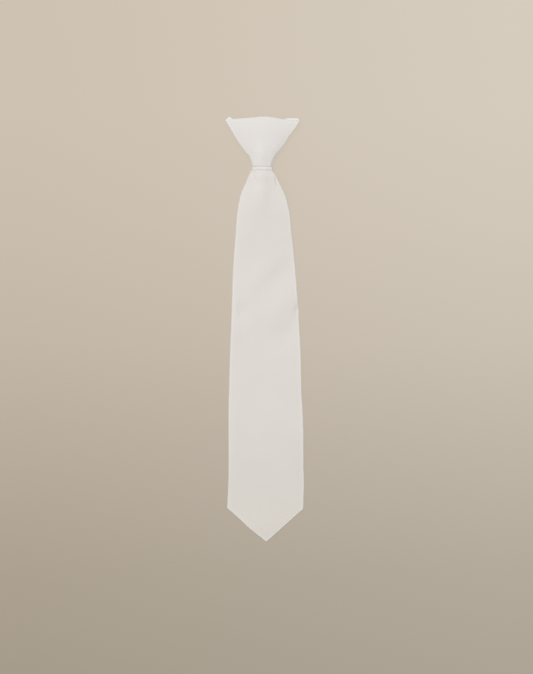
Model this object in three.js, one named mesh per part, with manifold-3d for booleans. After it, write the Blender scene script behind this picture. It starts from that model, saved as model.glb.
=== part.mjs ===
// A youth's pre-tied clip-on necktie of plain white cloth, lying face up.
// Millimetres. +X runs to the right as seen from the front, +Y from the point up to the knot,
// and +Z out of the cloth's face. The origin is on the surface that the tie lies on, under the middle of its
// outline.
import * as THREE from "three";
import { mergeVertices } from "three/addons/utils/BufferGeometryUtils.js";
import Module from "manifold-3d";

const wasm = await Module();
wasm.setup();

// Driving sizes
const topY = 177.8; // the highest point of the knot's top fold
const pointY = -177.8; // the blade's point
const facingDepth = 1.0; // how far the point's facing lies under the two back edges: one cloth's depth
const knotWall = 1.1; // the knot's cloth
const clearance = 0.3; // kept between neighbouring pieces
const sideSlope = 1.22; // a wall along the knot's slanting sides is this much wider, measured straight across
const foldTurns = [80, 55, 25, 0]; // the steps in degrees round the knot's top fold, from its edge inwards
const hemTurns = [0, 35, 60, 80]; // the same round the point's hem, outwards to its edge
const beyond = 40; // a cutting body reaches this far past what it cuts

// The blade from its hidden top end down to the two corners of the point.
// lift is the height of its back above the table, thick its depth at the edges, crown its face's further rise
// to the middle, and wall the thickness of its cloth, which is bunched up at the neck.
const bladeRows = [
  { y: 150.5, left: -8.6, right: 2.3, lift: 7.6, thick: 3.0, crown: 0.3, wall: 1.2 },
  { y: 143.0, left: -8.6, right: 2.2, lift: 6.9, thick: 3.6, crown: 0.4, wall: 1.5 },
  { y: 136.0, left: -8.6, right: 2.2, lift: 5.8, thick: 4.4, crown: 0.5, wall: 1.8 },
  { y: 132.8, left: -8.8, right: 3.6, lift: 5.5, thick: 4.9, crown: 0.6, wall: 1.9 },
  { y: 132.6, left: -11.2, right: 5.9, lift: 5.1, thick: 5.5, crown: 1.1, wall: 2.0 },
  { y: 131.8, left: -12.1, right: 7.0, lift: 4.8, thick: 5.3, crown: 1.8, wall: 2.0 },
  { y: 129.3, left: -12.9, right: 8.4, lift: 4.6, thick: 4.9, crown: 2.2, wall: 1.9 },
  { y: 124.3, left: -15.5, right: 11.5, lift: 4.2, thick: 4.5, crown: 2.3, wall: 1.7 },
  { y: 117.6, left: -18.2, right: 14.5, lift: 3.7, thick: 4.2, crown: 2.1, wall: 1.5 },
  { y: 111.0, left: -20.5, right: 17.2, lift: 3.1, thick: 3.9, crown: 1.8, wall: 1.3 },
  { y: 94.2, left: -23.2, right: 20.8, lift: 1.9, thick: 3.5, crown: 1.2, wall: 1.1 },
  { y: 80.9, left: -24.3, right: 22.1, lift: 1.2, thick: 3.3, crown: 0.9, wall: 1.0 },
  { y: 67.5, left: -25.4, right: 23.7, lift: 0.6, thick: 3.1, crown: 0.7, wall: 1.0 },
  { y: 40.8, left: -26.8, right: 26.2, lift: 0.0, thick: 3.0, crown: 0.5, wall: 1.0 },
  { y: 14.0, left: -27.7, right: 28.0, lift: 0.0, thick: 3.0, crown: 0.5, wall: 1.0 },
  { y: 0.0, left: -28.2, right: 28.7, lift: 0.0, thick: 3.0, crown: 0.5, wall: 1.0 },
  { y: -34.4, left: -29.4, right: 29.9, lift: 0.0, thick: 3.0, crown: 0.5, wall: 1.0 },
  { y: -51.0, left: -29.9, right: 30.4, lift: 0.0, thick: 3.0, crown: 0.5, wall: 1.0 },
  { y: -67.8, left: -30.3, right: 31.4, lift: 0.0, thick: 3.0, crown: 0.5, wall: 1.0 },
  { y: -101.3, left: -30.1, right: 31.9, lift: 0.0, thick: 3.0, crown: 0.4, wall: 1.0 },
  { y: -126.3, left: -30.6, right: 32.6, lift: 0.0, thick: 3.0, crown: 0.3, wall: 1.0 },
  { y: -149.8, left: -31.4, right: 31.9, lift: 0.0, thick: 3.0, crown: 0.2, wall: 1.0 },
];
// How far apart the blade's loops may lie, down to each height: closest where it is gathered or creased.
const bladeSpacing = [
  { downTo: 110, every: 3.4 },
  { downTo: 50, every: 8.5 },
  { downTo: 0, every: 4.5 },
  { downTo: -112, every: 17 },
  { downTo: -150, every: 8 },
];
const blade = {
  shoulderTop: 132.7, // the gathered cloth widens at once below the neck
  shoulderEnd: 130,
  pointSkew: 0.9, // the point lies this far right of the middle
  cornerTilt: 0.7, // the point's left corner is this much above the mean of the two, and its right one below
  pointStart: -112, // from here down, the loops turn from straight across to the point's slant
  hemSlant: 0.75, // the cosine of the hem's slant, which turns a depth across the hem into one along Y
  slitWidth: 0.8, // between the two folded edges at the middle of the back
  slitTop: 129,
  cavityEnd: -106,
  facingTop: -112, // where the two back edges part and the facing shows
  facingCorner: { left: -25.6, right: 26.4, y: -150.5 },
  facingPoint: -172.2,
};

// Creases pressed into the blade's face. Each is a soft hollow: its middle, its half-length and half-width,
// the angle of its length from +X in degrees, and its depth.
const faceHollows = [
  { x: -20.7, y: 14.9, long: 8.0, wide: 3.0, angle: 96, deep: 0.75 },
  { x: 24.6, y: 20.2, long: 7.0, wide: 3.4, angle: 58, deep: 0.75 },
  { x: 4.8, y: 35.8, long: 21.0, wide: 6.5, angle: 35, deep: 0.5 },
  { x: 9.2, y: 122.5, long: 6.0, wide: 1.4, angle: -58, deep: 0.9 },
];
// Gathers that run down from the neck: their place across it from -1 to 1, half-width, depth and reach.
const gathers = [
  { across: -0.6, wide: 0.12, deep: 0.6, reach: 16 },
  { across: 0.2, wide: 0.12, deep: 0.5, reach: 24 },
  { across: 0.7, wide: 0.12, deep: 0.6, reach: 12 },
];

// The knot from its two top corners to its lower end. back and front are the heights of its edges' faces.
const knotRows = [
  { y: 173.6, left: -32.3, right: 28.7, back: 6.4, front: 10.8, crown: 1.3 },
  { y: 167.8, left: -28.6, right: 24.4, back: 6.4, front: 10.8, crown: 2.2 },
  { y: 161.1, left: -24.5, right: 19.4, back: 6.4, front: 10.8, crown: 2.9 },
  { y: 154.4, left: -20.3, right: 14.8, back: 6.3, front: 10.8, crown: 3.2 },
  { y: 147.7, left: -15.6, right: 9.7, back: 5.8, front: 11.1, crown: 2.8 },
  { y: 144.4, left: -12.7, right: 7.4, back: 5.3, front: 11.4, crown: 2.1 },
  { y: 141.0, left: -11.4, right: 5.5, back: 4.7, front: 11.8, crown: 1.2 },
  { y: 138.4, left: -10.7, right: 4.3, back: 4.3, front: 12.1, crown: 0.5 },
  { y: 136.3, left: -10.4, right: 4.0, back: 4.2, front: 12.2, crown: 0.0 },
];
const knotSpacing = [{ downTo: 136, every: 3.4 }];
// The knot's top fold, from its left corner to its right one.
const knotTop = [
  { x: -32.2, y: 173.6 },
  { x: -26.0, y: 175.8 },
  { x: -20.0, y: 176.2 },
  { x: -10.0, y: 177.1 },
  { x: -0.5, y: topY },
  { x: 8.0, y: 176.9 },
  { x: 14.0, y: 175.8 },
  { x: 19.0, y: 174.5 },
  { x: 28.8, y: 173.6 },
];
// The opening left at the knot's back, where the cloth is folded in round the former.
const windowX = -2.2;
const windowRows = [
  { y: 171.5, half: 17.5 },
  { y: 149.0, half: 10.2 },
  { y: 142.5, half: 3.0 },
];

const band = {
  low: 133.1,
  high: 136.0,
  left: -10.5,
  right: 5.7,
  back: 3.9,
  front: 12.5,
  wall: 1.2,
  edge: 0.5, // its rounding
  bulge: 0.15,
};

// The clasp is one bent strip: its leaf lies lowest and its base is pushed in behind the former's bridge.
const clip = {
  x: -1.9,
  width: 12,
  strip: 0.8,
  bend: 3.1, // the inner radius over the top
  bendY: 166,
  baseLow: 153,
  leafStart: 162, // below this the leaf rises towards the knot, to its grip
  gripY: 151,
  grip: 0.6, // its rise
  mouthY: 145,
};
const clipBase = clip.strip + 2 * clip.bend; // the height of the base's lower face

const former = { wall: 1.6, lowEnd: 152.3, bossTop: 172, ribX: 12.5, ribWidth: 1.4 };
const bridge = { low: 155, high: 163, post: 1.6, depth: 0.9 };
const formerInset = knotWall + clearance + 0.1; // the faceted walls come closest between their edges
const clipSlot = { bottom: clipBase - clearance, top: clipBase + clip.strip + clearance };
// The two wing tips in outline, each a bar whose outer end shows past the cloth at a corner of the knot.
const wing = { low: 7.8, high: 9.4 };
const leftWing = [
  { x: -20.0, y: 169.6 },
  { x: -20.0, y: 173.4 },
  { x: -26.6, y: 175.7 },
  { x: -28.4, y: 177.0 },
  { x: -29.8, y: 177.4 },
  { x: -31.2, y: 176.9 },
  { x: -32.3, y: 175.4 },
  { x: -32.7, y: 174.2 },
  { x: -31.0, y: 171.8 },
  { x: -28.8, y: 170.4 },
];
const rightWing = [
  { x: 14.0, y: 170.4 },
  { x: 24.6, y: 170.4 },
  { x: 27.3, y: 172.2 },
  { x: 29.2, y: 175.0 },
  { x: 28.6, y: 176.4 },
  { x: 17.6, y: 176.6 },
  { x: 14.0, y: 173.0 },
];

const { clamp, degToRad, lerp, smoothstep } = THREE.MathUtils;

// A column of a table at any place between its rows, on a smooth curve that never overshoots them.
function read(table, key, place, column) {
  const last = table.length - 1;
  const rising = Math.sign(table[last][key] - table[0][key]);
  let i = 0;
  while (i < last - 1 && rising * (place - table[i + 1][key]) > 0) i++;
  const slope = (k) => (table[k + 1][column] - table[k][column]) / (table[k + 1][key] - table[k][key]);
  const tangent = (k) => {
    if (k === 0) return slope(0);
    if (k === last) return slope(last - 1);
    const [before, after] = [slope(k - 1), slope(k)];
    return before * after <= 0 ? 0 : (2 * before * after) / (before + after);
  };
  const span = table[i + 1][key] - table[i][key];
  const t = clamp((place - table[i][key]) / span, 0, 1);
  const straight = lerp(table[i][column], table[i + 1][column], t * t * (3 - 2 * t));
  return straight + span * t * (1 - t) * (tangent(i) * (1 - t) - tangent(i + 1) * t);
}

// The heights of a form's loops: every row of its table, and between them as many as the spacing asks for.
function stations(table, spacing) {
  const heights = [];
  for (let i = 0; i + 1 < table.length; i++) {
    const [from, to] = [table[i].y, table[i + 1].y];
    const { every } = spacing.find(({ downTo }) => (from + to) / 2 > downTo);
    const count = Math.ceil((from - to) / every);
    for (let k = 0; k < count; k++) heights.push(lerp(from, to, k / count));
  }
  return [...heights, table.at(-1).y];
}

// A three.js geometry as a solid that can be joined and cut.
function solidOf(geometry) {
  const bare = geometry.index ? geometry.toNonIndexed() : geometry.clone();
  bare.deleteAttribute("normal");
  bare.deleteAttribute("uv");
  const merged = mergeVertices(bare, 1e-4);
  return new wasm.Manifold(
    new wasm.Mesh({
      numProp: 3,
      vertProperties: merged.attributes.position.array,
      triVerts: new Uint32Array(merged.index.array),
    }),
  );
}

function geometryOf(solid) {
  const mesh = solid.getMesh();
  const geometry = new THREE.BufferGeometry()
    .setAttribute("position", new THREE.BufferAttribute(new Float32Array(mesh.vertProperties), 3))
    .setIndex(new THREE.BufferAttribute(new Uint32Array(mesh.triVerts), 1));
  geometry.computeVertexNormals();
  return geometry;
}

// A closed body through a stack of loops with equally many points, from high Y to low Y. A loop runs along
// the front from left to right and back along the back, so each end is closed straight from front to back.
function loft(loops) {
  const count = loops[0].length;
  const bottom = loops.length - 1;
  const at = (row, k) => row * count + ((k + count) % count);
  const faces = [];
  const addQuad = (a, b, c, d) => {
    for (const face of [[a, b, c], [a, c, d]]) {
      if (new Set(face).size === 3) faces.push(...face);
    }
  };
  for (let row = 0; row < bottom; row++) {
    for (let k = 0; k < count; k++) addQuad(at(row + 1, k), at(row + 1, k + 1), at(row, k + 1), at(row, k));
  }
  for (let k = 0; k < count / 2; k++) {
    addQuad(at(0, k), at(0, k + 1), at(0, -k - 1), at(0, -k));
    addQuad(at(bottom, -k), at(bottom, -k - 1), at(bottom, k + 1), at(bottom, k));
  }
  return new THREE.BufferGeometry().setFromPoints(loops.flat()).setIndex(faces);
}

// One loop of a flat form with round sides. front, back and y give its two faces' heights and its place along
// the tie, at a place across it from -1 to 1. close thins it from 1 down to 0 towards a folded end.
function flatLoop({ left, right, front, back, y, skew = 0, close = 1 }, { middleSteps, sideSteps }) {
  const half = (right - left) / 2;
  const round = Math.min(0.95, (front(1) - back(1)) / 2 / half);
  const side = (i) => 1 - round + round * Math.sin(((i / sideSteps) * Math.PI) / 2);
  const places = [];
  for (let i = sideSteps; i >= 1; i--) places.push(-side(i));
  for (let i = 0; i <= middleSteps; i++) places.push(((2 * i) / middleSteps - 1) * (1 - round));
  for (let i = 1; i <= sideSteps; i++) places.push(side(i));
  const point = (u, face) => {
    const past = Math.max(0, (Math.abs(u) - (1 - round)) / round);
    const depth = (Math.sqrt(Math.max(0, 1 - past * past)) * close * (front(u) - back(u))) / 2;
    const x = (left + right) / 2 + half * u + skew * (1 - u * u);
    return new THREE.Vector3(x, y(u), (front(u) + back(u)) / 2 + face * depth);
  };
  const returning = places.slice(1, -1).reverse();
  return [...places.map((u) => point(u, 1)), ...returning.map((u) => point(u, -1))];
}

// An upright prism on an outline of { x, y } points.
function prism(outline, low, high) {
  const shape = new THREE.Shape(outline.map(({ x, y }) => new THREE.Vector2(x, y)));
  const upright = new THREE.ExtrudeGeometry(shape, { depth: high - low, bevelEnabled: false });
  return solidOf(upright.translate(0, 0, low));
}

// A box between two heights along each axis.
function block([left, right], [low, high], [bottom, top]) {
  const size = new THREE.Vector3(right - left, high - low, top - bottom);
  const middle = new THREE.Vector3(right + left, high + low, top + bottom).multiplyScalar(0.5);
  return solidOf(new THREE.BoxGeometry(...size).translate(...middle));
}

// How far the blade's face is pressed in at a place: its creases, and its gathers below the neck.
function faceDepth(x, y, across) {
  let depth = 0;
  for (const hollow of faceHollows) {
    const angle = degToRad(hollow.angle);
    const [dx, dy] = [x - hollow.x, y - hollow.y];
    const along = (dx * Math.cos(angle) + dy * Math.sin(angle)) / hollow.long;
    const aside = (dy * Math.cos(angle) - dx * Math.sin(angle)) / hollow.wide;
    depth += hollow.deep * Math.exp(-along * along - aside * aside);
  }
  const below = blade.shoulderTop - y;
  for (const gather of gathers) {
    const aside = (across - gather.across) / gather.wide;
    const fade = Math.exp(-((Math.max(0, below) / gather.reach) ** 2)) * smoothstep(below, 0, 1.5);
    depth += gather.deep * fade * Math.exp(-aside * aside);
  }
  return depth;
}

// A loop of the blade at height y, taken in by inset. hem is how far up from the hem's edge it lies.
function bladeLoop(y, { inset = 0, hem = 0, close = 1, creased = true, steps } = {}) {
  const [left, right, lift, thick, crown] = ["left", "right", "lift", "thick", "crown"].map((column) =>
    read(bladeRows, "y", y, column),
  );
  const corners = bladeRows.at(-1).y;
  const pointed = clamp((blade.pointStart - y) / (blade.pointStart - corners), 0, 1) ** 1.5;
  const yAt = (u) => y - pointed * ((corners - pointY) * (1 - Math.abs(u)) + blade.cornerTilt * u) + hem;
  const faceAt = (u) => {
    const x = (left + right) / 2 + ((right - left) / 2) * u;
    return lift + thick + crown * (1 - u * u) - (creased ? faceDepth(x, yAt(u), u) : 0) - inset;
  };
  const form = {
    left: left + inset,
    right: right - inset,
    front: faceAt,
    back: () => lift + inset,
    y: yAt,
    skew: blade.pointSkew * pointed,
    close,
  };
  return flatLoop(form, steps);
}

// The blade: a flattened tube of cloth, folded at both sides, with its two edges down the middle of its back.
function makeBlade() {
  const fine = { middleSteps: 20, sideSteps: 3 };
  const corners = bladeRows.at(-1);
  const loops = stations(bladeRows, bladeSpacing).map((y) => bladeLoop(y, { steps: fine }));
  loops.pop();
  for (const turn of hemTurns) {
    const angle = degToRad(turn);
    const hem = ((corners.thick / 2) * (1 - Math.sin(angle))) / blade.hemSlant;
    loops.push(bladeLoop(corners.y, { hem, close: Math.cos(angle), steps: fine }));
  }

  const inside = bladeRows.map(({ y }) => y).filter((y) => y > blade.shoulderTop || y < blade.shoulderEnd);
  const hollow = [...inside.filter((y) => y > blade.cavityEnd), blade.cavityEnd].map((y) => {
    const inset = read(bladeRows, "y", y, "wall");
    return bladeLoop(y, { inset, creased: false, steps: { middleSteps: 6, sideSteps: 2 } });
  });
  const openEnd = hollow[0].map((p) => p.clone().setY(p.y + clearance));

  const slitHeights = [blade.slitTop, ...inside.filter((y) => y < blade.slitTop && y > blade.facingTop)];
  const slit = [...slitHeights, blade.facingTop - facingDepth].map((y) => {
    const [left, right, lift, wall] = ["left", "right", "lift", "wall"].map((column) =>
      read(bladeRows, "y", y, column),
    );
    const x = (left + right) / 2;
    const half = blade.slitWidth / 2;
    const [low, high] = [lift - facingDepth, lift + wall + clearance];
    return [[x - half, high], [x + half, high], [x + half, low], [x - half, low]].map(
      ([across, height]) => new THREE.Vector3(across, y, height),
    );
  });

  const corner = blade.facingCorner;
  const facing = [
    { x: 0.9, y: blade.facingTop },
    { x: corner.left, y: corner.y },
    { x: 1.2, y: blade.facingPoint },
    { x: corner.right, y: corner.y },
  ];
  return solidOf(loft(loops))
    .subtract(solidOf(loft([openEnd, ...hollow])))
    .subtract(solidOf(loft(slit)))
    .subtract(prism(facing, -beyond, facingDepth));
}

// A loop of the knot whose sides are at height y. aside, front, back and top say how far it is taken in
// there, and fold how far down from the top fold's edge it lies.
function knotLoop(y, { aside = 0, front = 0, back = 0, top = 0, fold = 0, close = 1, steps }) {
  const [corners, end] = [knotRows[0], knotRows.at(-1)];
  const share = (y - end.y) / (corners.y - end.y);
  const get = (column) => read(knotRows, "y", y - share * top - fold, column);
  const xAt = (u) => (corners.right + corners.left + u * (corners.right - corners.left)) / 2;
  const form = {
    left: get("left") + aside,
    right: get("right") - aside,
    front: (u) => get("front") + get("crown") * (1 - u * u) - front,
    back: () => get("back") + back,
    y: (u) => end.y + share * (read(knotTop, "x", xAt(u), "y") - end.y - top) - fold,
    close,
  };
  return flatLoop(form, steps);
}

// The knot's form taken in all round by depth, from its top fold down through the given heights.
function knotForm(depth, heights, steps, backDepth = depth) {
  const corners = knotRows[0];
  const taken = { aside: depth * sideSlope, front: depth, back: backDepth, top: depth, steps };
  const roll = (corners.front - corners.back) / 2 - depth;
  const folded = foldTurns.map((turn) => {
    const angle = degToRad(turn);
    return knotLoop(corners.y, { ...taken, fold: roll * (1 - Math.sin(angle)), close: Math.cos(angle) });
  });
  return solidOf(loft([...folded, ...heights.map((y) => knotLoop(y, taken))]));
}

// A wing tip's bar, or its slot where margin is the play round it.
function wingBar(outline, margin = 0) {
  const middle = new THREE.Box2().setFromPoints(outline).getCenter(new THREE.Vector2());
  const grown = outline.map(({ x, y }) => {
    const out = new THREE.Vector2(x, y).sub(middle);
    return out.setLength(out.length() + 2 * margin).add(middle);
  });
  return prism(grown, wing.low - margin, wing.high + margin);
}

// The knot's cloth: drawn over the former, folded over its top, and turned in at its back round a window.
function makeKnotWrap() {
  const coarse = { middleSteps: 10, sideSteps: 2 };
  const end = knotRows.at(-1);
  const outer = knotForm(0, stations(knotRows, knotSpacing).slice(1), { middleSteps: 14, sideSteps: 3 });
  const inner = knotForm(knotWall, knotRows.slice(1).map(({ y }) => y), coarse);
  const inset = { aside: knotWall, front: knotWall, back: knotWall, steps: coarse };
  const mouth = [clearance, -clearance].map((past) =>
    knotLoop(end.y, inset).map((p) => p.setY(end.y + past)),
  );
  const window = [
    ...windowRows.map(({ y, half }) => ({ x: windowX - half, y })),
    ...windowRows.toReversed().map(({ y, half }) => ({ x: windowX + half, y })),
  ];
  return outer
    .subtract(inner)
    .subtract(solidOf(loft(mouth)))
    .subtract(prism(window, -beyond, (wing.low + wing.high) / 2))
    .subtract(wingBar(leftWing, clearance))
    .subtract(wingBar(rightWing, clearance));
}

// The roll of cloth round the neck, which closes the knot's lower end.
function makeKnotBand() {
  const { low, high, left, right, back, front, wall, edge, bulge } = band;
  const ring = (y, grown) => {
    const form = {
      left: left - grown,
      right: right + grown,
      front: () => front + grown,
      back: () => back - grown,
      y: () => y,
    };
    return flatLoop(form, { middleSteps: 8, sideSteps: 5 });
  };
  const outer = [
    ring(high, -edge),
    ring(high - edge, 0),
    ring((low + high) / 2, bulge),
    ring(low + edge, 0),
    ring(low, -edge),
  ];
  const inner = [ring(high + edge, -wall), ring(low - edge, -wall)];
  return solidOf(loft(outer)).subtract(solidOf(loft(inner)));
}

// The moulded former: a shell under the knot's face, with ribs, the clasp's boss and bridge, and two wings.
function makeKnotFormer() {
  const { wall, lowEnd, bossTop, ribX, ribWidth } = former;
  const rows = knotRows.slice(1).map(({ y }) => y).filter((y) => y > lowEnd);
  const steps = { middleSteps: 10, sideSteps: 2 };
  const shell = knotForm(formerInset, [...rows, lowEnd], steps);
  const hollow = knotForm(formerInset + wall, [...rows, lowEnd], steps, -beyond).subtract(
    block([-beyond, beyond], [lowEnd - beyond, lowEnd + wall], [-beyond, beyond]),
  );

  const slotHalf = clip.width / 2 + clearance;
  const postHalf = slotHalf + bridge.post;
  const upright = (x, half, high) => block([x - half, x + half], [lowEnd - beyond, high], [0, beyond]);
  const boss = upright(clip.x, postHalf, bossTop);
  const ribs = [-1, 1].map((side) => upright(clip.x + side * ribX, ribWidth / 2, topY));
  const strap = block(
    [clip.x - postHalf, clip.x + postHalf],
    [bridge.low, bridge.high],
    [clipSlot.bottom - bridge.depth, clipSlot.top + clearance],
  );
  const slot = block(
    [clip.x - slotHalf, clip.x + slotHalf],
    [lowEnd - beyond, topY],
    [clipSlot.bottom, clipSlot.top],
  );
  let body = shell.subtract(hollow);
  for (const filling of [boss, ...ribs]) body = body.add(filling.intersect(shell));
  return body.add(strap).subtract(slot).add(wingBar(leftWing)).add(wingBar(rightWing));
}

// The clasp: a strip along a middle line, from its base's free end over the bend and down the leaf.
function makeCollarClip() {
  const { strip, bend, bendY, baseLow, leafStart, gripY, grip, mouthY } = clip;
  const [bendSteps, leafSteps] = [12, 8];
  const radius = bend + strip / 2;
  const line = [new THREE.Vector2(baseLow, clipBase + strip / 2)];
  for (let step = 0; step <= bendSteps; step++) {
    const angle = Math.PI / 2 - (step / bendSteps) * Math.PI;
    const centre = new THREE.Vector2(bendY, strip / 2 + radius);
    line.push(new THREE.Vector2(Math.cos(angle), Math.sin(angle)).multiplyScalar(radius).add(centre));
  }
  for (let step = 1; step <= leafSteps; step++) {
    const share = step / leafSteps;
    line.push(new THREE.Vector2(lerp(leafStart, gripY, share), strip / 2 + grip * smoothstep(share, 0, 1)));
  }
  line.push(new THREE.Vector2((gripY + mouthY) / 2, strip / 2 + 0.7 * grip));
  line.push(new THREE.Vector2(mouthY, strip / 2));
  const edge = (side) =>
    line.map((p, i) => {
      const [before, after] = [line[Math.max(0, i - 1)], line[Math.min(line.length - 1, i + 1)]];
      const along = after.clone().sub(before).normalize();
      return p.clone().addScaledVector(new THREE.Vector2(-along.y, along.x), (side * strip) / 2);
    });
  const sideView = new THREE.Shape([...edge(-1), ...edge(1).reverse()]);
  const axes = [new THREE.Vector3(0, 1, 0), new THREE.Vector3(0, 0, 1), new THREE.Vector3(1, 0, 0)];
  const bent = new THREE.ExtrudeGeometry(sideView, { depth: clip.width, bevelEnabled: false });
  bent.applyMatrix4(new THREE.Matrix4().makeBasis(...axes)).translate(clip.x - clip.width / 2, 0, 0);
  return solidOf(bent);
}

const whiteCloth = new THREE.MeshStandardMaterial({ color: 0xe9e5df, roughness: 0.72, metalness: 0 });
const whitePlastic = new THREE.MeshStandardMaterial({ color: 0xf1efeb, roughness: 0.4, metalness: 0 });
const nickel = new THREE.MeshStandardMaterial({ color: 0xb9b7b2, roughness: 0.28, metalness: 1 });

const necktie = new THREE.Group();
for (const [name, solid, material] of [
  ["blade", makeBlade(), whiteCloth],
  ["knot_wrap", makeKnotWrap(), whiteCloth],
  ["knot_band", makeKnotBand(), whiteCloth],
  ["knot_former", makeKnotFormer(), whitePlastic],
  ["collar_clip", makeCollarClip(), nickel],
]) {
  const mesh = new THREE.Mesh(geometryOf(solid), material);
  mesh.name = name;
  necktie.add(mesh);
}

export default necktie;
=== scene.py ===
# A youth's pre-tied clip-on necktie of plain white cloth, lying face up on pale paper.
# Tables are in millimetres. Y runs from the point up to the knot, and Z out of the cloth's face.
import math
import bpy
import numpy as np
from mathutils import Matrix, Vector


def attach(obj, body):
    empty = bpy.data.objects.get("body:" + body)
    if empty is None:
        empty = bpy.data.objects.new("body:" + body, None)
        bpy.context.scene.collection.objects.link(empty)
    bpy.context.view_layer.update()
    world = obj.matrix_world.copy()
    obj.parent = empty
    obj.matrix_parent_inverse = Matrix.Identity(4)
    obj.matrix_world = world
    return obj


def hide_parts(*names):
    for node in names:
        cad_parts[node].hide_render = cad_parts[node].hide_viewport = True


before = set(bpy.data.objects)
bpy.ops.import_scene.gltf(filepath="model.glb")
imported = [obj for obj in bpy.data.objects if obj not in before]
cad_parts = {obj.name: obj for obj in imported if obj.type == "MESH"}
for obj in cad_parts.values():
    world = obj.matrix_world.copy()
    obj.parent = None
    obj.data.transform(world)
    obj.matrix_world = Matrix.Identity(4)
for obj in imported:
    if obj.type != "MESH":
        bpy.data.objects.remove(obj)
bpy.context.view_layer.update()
print("frame loaded:", ", ".join(sorted(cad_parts)))

mm = 0.001
clearance = 0.3   # between hard parts that lie against each other
scene = bpy.context.scene


# Tables and meshes
def along(rows, place, column, key="y"):
    # one column of a table at any places, on a smooth curve that never overshoots the rows
    at = np.array([row[key] for row in rows], float)
    value = np.array([row[column] for row in rows], float)
    if at[0] > at[-1]:
        at, value = at[::-1], value[::-1]
    slope = np.diff(value) / np.diff(at)
    tangent = np.concatenate([slope[:1], np.zeros(len(at) - 2), slope[-1:]])
    before, after = slope[:-1], slope[1:]
    rising = before * after > 0
    tangent[1:-1][rising] = 2 * before[rising] * after[rising] / (before + after)[rising]
    place = np.clip(np.asarray(place, float), at[0], at[-1])
    i = np.clip(np.searchsorted(at, place) - 1, 0, len(at) - 2)
    span = at[i + 1] - at[i]
    t = (place - at[i]) / span
    straight = value[i] + (value[i + 1] - value[i]) * t * t * (3 - 2 * t)
    return straight + span * t * (1 - t) * (tangent[i] * (1 - t) - tangent[i + 1] * t)


def sectionAt(rows, place, *columns):
    return [float(along(rows, place, column)) for column in columns]


def tableRows(columns, rows):
    return [dict(zip(columns.split(), row)) for row in rows]


def ease(low, high, value):
    t = np.clip((np.asarray(value, float) - low) / (high - low), 0, 1)
    return t * t * (3 - 2 * t)


def rounding(distance, radius):
    # how far a rounded edge has dropped at a distance from its end
    inside = np.clip(radius - distance, 0, radius)
    return radius - np.sqrt(radius * radius - inside * inside)


def addObject(name, material, points, faces, uvs=None, sharpAngle=40, folds=None):
    # faces index the points; points that no face uses are left out
    faces = [tuple(int(v) for v in face) for face in faces]
    used = sorted({v for face in faces for v in face})
    place = {v: i for i, v in enumerate(used)}
    mesh = bpy.data.meshes.new(name)
    mesh.from_pydata([tuple(points[v] * mm) for v in used], [], [[place[v] for v in f] for f in faces])
    if uvs is not None:
        layer = mesh.uv_layers.new(name="cloth")
        layer.data.foreach_set("uv", np.asarray(uvs, np.float32).ravel())
    # how near each point is to a pressed fold, which sets the painted highlight there
    if folds is not None:
        highlightWeights = mesh.attributes.new("fold", "FLOAT", "POINT")
        highlightWeights.data.foreach_set("value", np.asarray(folds, np.float32)[used])
    mesh.polygons.foreach_set("use_smooth", [True] * len(mesh.polygons))
    mesh.set_sharp_from_angle(angle=math.radians(sharpAngle))
    mesh.update()
    mesh.materials.append(material)
    piece = bpy.data.objects.new(name, mesh)
    scene.collection.objects.link(piece)
    return piece


def cellCorners(grid, keep=None, flip=False):
    # the four corners of all cells, or of the marked ones: point numbers, or what the points hold
    cells = np.stack([grid[:-1, :-1], grid[1:, :-1], grid[1:, 1:], grid[:-1, 1:]], 2)
    cells = cells.reshape(-1, *cells.shape[2:]) if keep is None else cells[keep]
    return cells[:, ::-1] if flip else cells


def touching(cells):
    # the grid points that a marked cell touches
    found = np.zeros((cells.shape[0] + 1, cells.shape[1] + 1), bool)
    for rows in (slice(None, -1), slice(1, None)):
        for columns in (slice(None, -1), slice(1, None)):
            found[rows, columns] |= cells
    return found


def tubeFaces(rings, count, first=0, flip=False, ends=True, wrap=False):
    # faces between rings of points, and over the two ends, or from the last ring on to the first one
    faces = []
    for i in range(rings if wrap else rings - 1):
        here, there = first + i * count, first + (i + 1) % rings * count
        for k in range(count):
            after = (k + 1) % count
            faces.append((here + k, here + after, there + after, there + k))
    if ends:
        faces.append(tuple(range(first, first + count))[::-1])
        faces.append(tuple(range(first + (rings - 1) * count, first + rings * count)))
    return [face[::-1] for face in faces] if flip else faces


def lineLengths(line):
    return np.concatenate([[0], np.cumsum(np.linalg.norm(np.diff(line, axis=0), axis=1))])


def rightOf(run):
    # unit lengths square to a line's run, on its right
    run = run / np.linalg.norm(run, axis=1)[:, None]
    return np.stack([run[:, 1], -run[:, 0]], -1)


def rowLengths(grid):
    # how far along its row each point is, from the left
    steps = np.linalg.norm(np.diff(grid[..., :3:2], axis=1), axis=2)
    return np.concatenate([np.zeros((len(grid), 1)), np.cumsum(steps, axis=1)], axis=1)


gridNames = ("front", "back", "frontIn", "backIn")


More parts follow.
